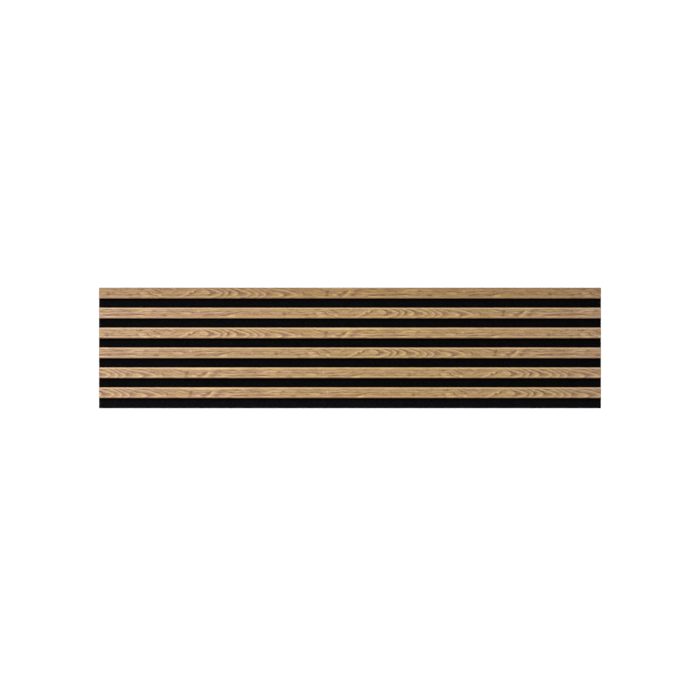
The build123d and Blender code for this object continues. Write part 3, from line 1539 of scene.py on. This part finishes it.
def box_mesh(name: str, xs: list[float], ys: list[float], zs: list[float]) -> bpy.types.Mesh:
    """Makes a closed box whose six faces are divided by the given lines.

    Args:
        name: The mesh's name.
        xs: Places of the lines along X.
        ys: Places of the lines along Y.
        zs: Places of the lines along Z.

    Returns:
        The mesh, with its faces outwards.
    """
    sides = (xs, ys, zs)
    shape = bmesh.new()
    made: dict[tuple[int, ...], bmesh.types.BMVert] = {}

    def vertex(*key: int) -> bmesh.types.BMVert:
        """Gives the vertex where three lines meet.

        Args:
            key: The number of the line along X, Y and Z.

        Returns:
            The vertex, made where it isn't there yet.
        """
        if key not in made:
            made[key] = shape.verts.new([side[at] for side, at in zip(sides, key)])
        return made[key]

    for axis in range(3):
        u, v = (axis + 1) % 3, (axis + 2) % 3
        for end, at in ((False, 0), (True, len(sides[axis]) - 1)):
            for i in range(len(sides[u]) - 1):
                for j in range(len(sides[v]) - 1):
                    ring = []
                    for du, dv in ((0, 0), (1, 0), (1, 1), (0, 1)):
                        key = [0, 0, 0]
                        key[axis], key[u], key[v] = at, i + du, j + dv
                        ring.append(vertex(*key))
                    shape.faces.new(ring if end else ring[::-1])
    mesh = bpy.data.meshes.new(name)
    shape.to_mesh(mesh)
    shape.free()
    return mesh


class Region(Enum):
    """The bare faces of the felt that carry loose fibres."""

    FRONT = "front"
    BACK = "back"
    EDGES = "edges"


@dataclass
class FeltFuzz:
    """Loose fibres that lie on the felt and stand out of its cut edges."""

    length: float = 3.4 * MM
    radius: float = 0.035 * MM
    lift: float = 0.5 * MM
    inset: float = 0.5 * MM
    counts: tuple[tuple[Region, int], ...] = (
        (Region.FRONT, 12000), (Region.BACK, 12000), (Region.EDGES, 9000),
    )
    # A fibre's bow: its handles as a share of half its length, and its tip as a share of its lift.
    handle_share: float = 0.4
    tip_share: float = 0.6
    bow_points: int = 2
    tube_points: int = 3
    sizes: Pair = (0.45, 1.3)
    size_seed: float = 5.0
    # Fibres lie flatter on the back, and those on the edges keep off the wall by a share of their length.
    back_lift: float = 0.3
    wall_share: float = 0.7

    def recipe(self) -> Recipe:
        """Builds the tree that scatters bent fibres over a few faces.

        Returns:
            The tree.
        """
        kinds = dict.fromkeys(("Density", "Length", "Radius", "Lift"), Kind.NUMBER)
        tree = Recipe("felt_fuzz", kinds | {"Seed": Kind.COUNT, "Fibre": Kind.MATERIAL})
        given = tree.given
        spread = {"Mesh": given["Geometry"], "Density": given["Density"], "Seed": given["Seed"]}
        scatter = tree.node("GeometryNodeDistributePointsOnFaces", spread, distribute_method="RANDOM")
        half = given["Length"] * 0.5
        handle = half * self.handle_share
        bow = {
            "Resolution": self.bow_points,
            "Start": tree.vector(half * -1.0, 0.0, 0.0),
            "Start Handle": tree.vector(0.0, handle, given["Lift"]),
            "End Handle": tree.vector(handle, half, given["Lift"]),
            "End": tree.vector(half, 0.0, given["Lift"] * self.tip_share),
        }
        line = tree.step("GeometryNodeCurvePrimitiveBezierSegment", bow)
        ring = {"Resolution": self.tube_points, "Radius": given["Radius"]}
        ring = tree.step("GeometryNodeCurvePrimitiveCircle", ring)
        tube = {"Curve": line, "Profile Curve": ring, "Fill Caps": True}
        turn = tree.chance(0.0, 2 * math.pi, given["Seed"])
        spin = tree.step("FunctionNodeAxisAngleToRotation", {"Axis": (0.0, 0.0, 1.0), "Angle": turn})
        facing = {"Rotation": Term(tree, scatter.outputs["Rotation"]), "Rotate By": spin}
        placed = {
            "Points": Term(tree, scatter.outputs["Points"]),
            "Instance": tree.step("GeometryNodeCurveToMesh", tube),
            "Rotation": tree.step("FunctionNodeRotateRotation", facing, rotation_space="LOCAL"),
            "Scale": tree.chance(*self.sizes, given["Seed"] + self.size_seed),
        }
        placed = tree.step("GeometryNodeInstanceOnPoints", placed)
        real = tree.step("GeometryNodeRealizeInstances", {"Geometry": placed})
        tree.put_out(Geometry=tree.dress(real, given["Fibre"]))
        return tree

    def ground(self, region: Region) -> bpy.types.Mesh:
        """Makes the plain faces that the fibres of one region grow on.

        Args:
            region: Which bare faces.

        Returns:
            The faces, pointing outwards.
        """
        low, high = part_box("felt_backing")
        along = (low.x + self.inset, high.x - self.inset)
        up = (low.z, high.z)
        corners = []
        if region is Region.FRONT:
            slats = [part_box(node) for node in SLAT_NODES]
            bottoms = [top.z for _, top in slats[1:]] + [low.z]
            for (slat_low, _), bottom in zip(slats, bottoms):
                corners += [(x, low.y, z) for x, z in rectangle(along, (bottom, slat_low.z))]
        elif region is Region.BACK:
            corners += [(x, high.y, z) for x, z in rectangle(along, up, turned=True)]
        else:
            deep = (low.y + self.inset, high.y - self.wall_share * self.length)
            corners += [(low.x, y, z) for y, z in rectangle(deep, up, turned=True)]
            corners += [(high.x, y, z) for y, z in rectangle(deep, up)]
            corners += [(x, y, low.z) for x, y in rectangle(along, deep, turned=True)]
            corners += [(x, y, high.z) for x, y in rectangle(along, deep)]
        faces = [range(start, start + 4) for start in range(0, len(corners), 4)]
        mesh = bpy.data.meshes.new(f"ground_{region.value}")
        mesh.from_pydata(corners, [], faces)
        return mesh

    def build(self, fibre: bpy.types.Material) -> None:
        """Makes one piece of loose fibres for each region.

        Args:
            fibre: The fibres' material.
        """
        recipe = self.recipe()
        for seed, (region, count) in enumerate(self.counts, start=1):
            ground = self.ground(region)
            pressed = self.back_lift if region is Region.BACK else 1.0
            values = {
                "Density": count / sum(face.area for face in ground.polygons),
                "Seed": seed,
                "Length": self.length,
                "Radius": self.radius,
                "Lift": self.lift * pressed,
                "Fibre": fibre,
            }
            show(recipe.cook(f"felt_fuzz_{region.value}", ground, values), Slot.FELT)


def rectangle(u: Pair, v: Pair, turned: bool = False) -> list[Pair]:
    """Gives a rectangle's corners in order, the other way round where it is turned."""
    corners = [(u[0], v[0]), (u[1], v[0]), (u[1], v[1]), (u[0], v[1])]
    return [corners[at] for at in (0, 3, 2, 1)] if turned else corners


@dataclass(frozen=True)
class Softbox:
    """One softbox, by its place, its width and height, and its watts; it faces the panel's middle."""

    name: str
    place: Triple
    size: Pair
    power: float

    def hang(self) -> None:
        """Adds the light to the scene."""
        light = bpy.data.lights.new(self.name, "AREA")
        light.shape = "RECTANGLE"
        light.size, light.size_y = self.size
        light.energy = self.power
        lamp = add_object(self.name, light)
        lamp.location = self.place
        lamp.rotation_euler = (-Vector(self.place)).to_track_quat("-Z", "Y").to_euler()


@dataclass
class Studio:
    """The white studio: floor, lights, background and camera."""

    # The view's width at the slats' faces, and the height that the camera looks at.
    frame_width: float = 1.743
    aim_height: float = -0.0050
    lens: float = 600.0
    sensor: float = 36.0
    floor_drop: float = 1.6
    floor_size: float = 9.0
    floor_tones: tuple[Colour, Colour] = (paint(240, 240, 240), paint(246, 246, 246))
    floor_mottle: float = 3.0
    floor_bounce: Colour = paint(120, 120, 120)
    floor_glow: float = 0.42
    white: Colour = (1.0, 1.0, 1.0, 1.0)
    room_light: float = 0.31
    backdrop: float = 1.05
    # One in front at the left, a weak one above, and a strong one behind for the back.
    softboxes: tuple[Softbox, ...] = (
        Softbox("left_softbox", (-1.7, -3.0, 1.25), (1.5, 1.5), 138.0),
        Softbox("top_softbox", (-0.2, -0.55, 1.5), (2.2, 0.7), 4.5),
        Softbox("rear_softbox", (1.8, 3.4, -0.3), (2.0, 2.0), 330.0),
    )

    def floor(self) -> None:
        """Lays a plain pale floor well below the panel, which throws less light up than it shows."""
        look = Finish("pale_floor", Roughness=0.9, Specular_IOR_Level=0.1)
        colour = look.lay(look.cloud(look.place(), self.floor_mottle), *self.floor_tones)
        seen = look.read("ShaderNodeLightPath", "Is Camera Ray")
        look.feed(look.shader["Base Color"], look.lay(seen, self.floor_bounce, colour))
        look.feed(look.shader["Emission Strength"], seen * self.floor_glow)
        side = (-self.floor_size / 2, self.floor_size / 2)
        corners = [(x, y, -self.floor_drop) for x, y in rectangle(side, side)]
        mesh = bpy.data.meshes.new("studio_floor")
        mesh.from_pydata(corners, [], [(0, 1, 2, 3)])
        mesh.materials.append(look.material)
        floor = add_object("studio_floor", mesh)

    def background(self) -> None:
        """Makes the surroundings plain white, and dimmer as a light than to the eye."""
        world = bpy.data.worlds.new("white_studio")
        world.use_nodes = True
        tree = Graph(world.node_tree)
        seen = tree.read("ShaderNodeLightPath", "Is Camera Ray")
        shader = world.node_tree.nodes["Background"].inputs
        shader["Color"].default_value = self.white
        strength = tree.span(seen, (0.0, 1.0), (self.room_light, self.backdrop), smooth=False)
        tree.feed(shader["Strength"], strength)
        bpy.context.scene.world = world
        bpy.context.scene.view_settings.view_transform = "Standard"

    def camera(self) -> None:
        """Sets the camera square in front of the panel, at the distance that gives the frame its width."""
        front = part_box(SLAT_NODES[0])[0].y
        data = bpy.data.cameras.new("front_camera")
        data.lens = self.lens
        data.sensor_width = self.sensor
        camera = add_object("front_camera", data)
        camera.location = (0.0, front - self.frame_width * self.lens / self.sensor, self.aim_height)
        camera.rotation_euler = (QUARTER_TURN, 0.0, 0.0)
        bpy.context.scene.camera = camera

    def build(self) -> None:
        """Sets up the whole studio."""
        self.floor()
        for softbox in self.softboxes:
            softbox.hang()
        self.background()
        self.camera()


def main() -> None:
    """Builds the panel's pieces in order, then the studio."""
    logging.basicConfig(level=logging.INFO, format="%(message)s")
    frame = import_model()
    LOG.info("%d nodes in the frame", len(frame["nodes"]))
    mottle = mottle_group()
    staples = StapleRows()
    FeltBacking(staples).build(NeedledFelt().material(mottle))
    FeltFuzz().build(LooseFibre().material(mottle))
    SlatSet().build(OakWrap().material(), CutFibreboard().material(mottle))
    staples.build(ZincWire().material(mottle))
    Studio().build()


if __name__ == "__main__":
    main()
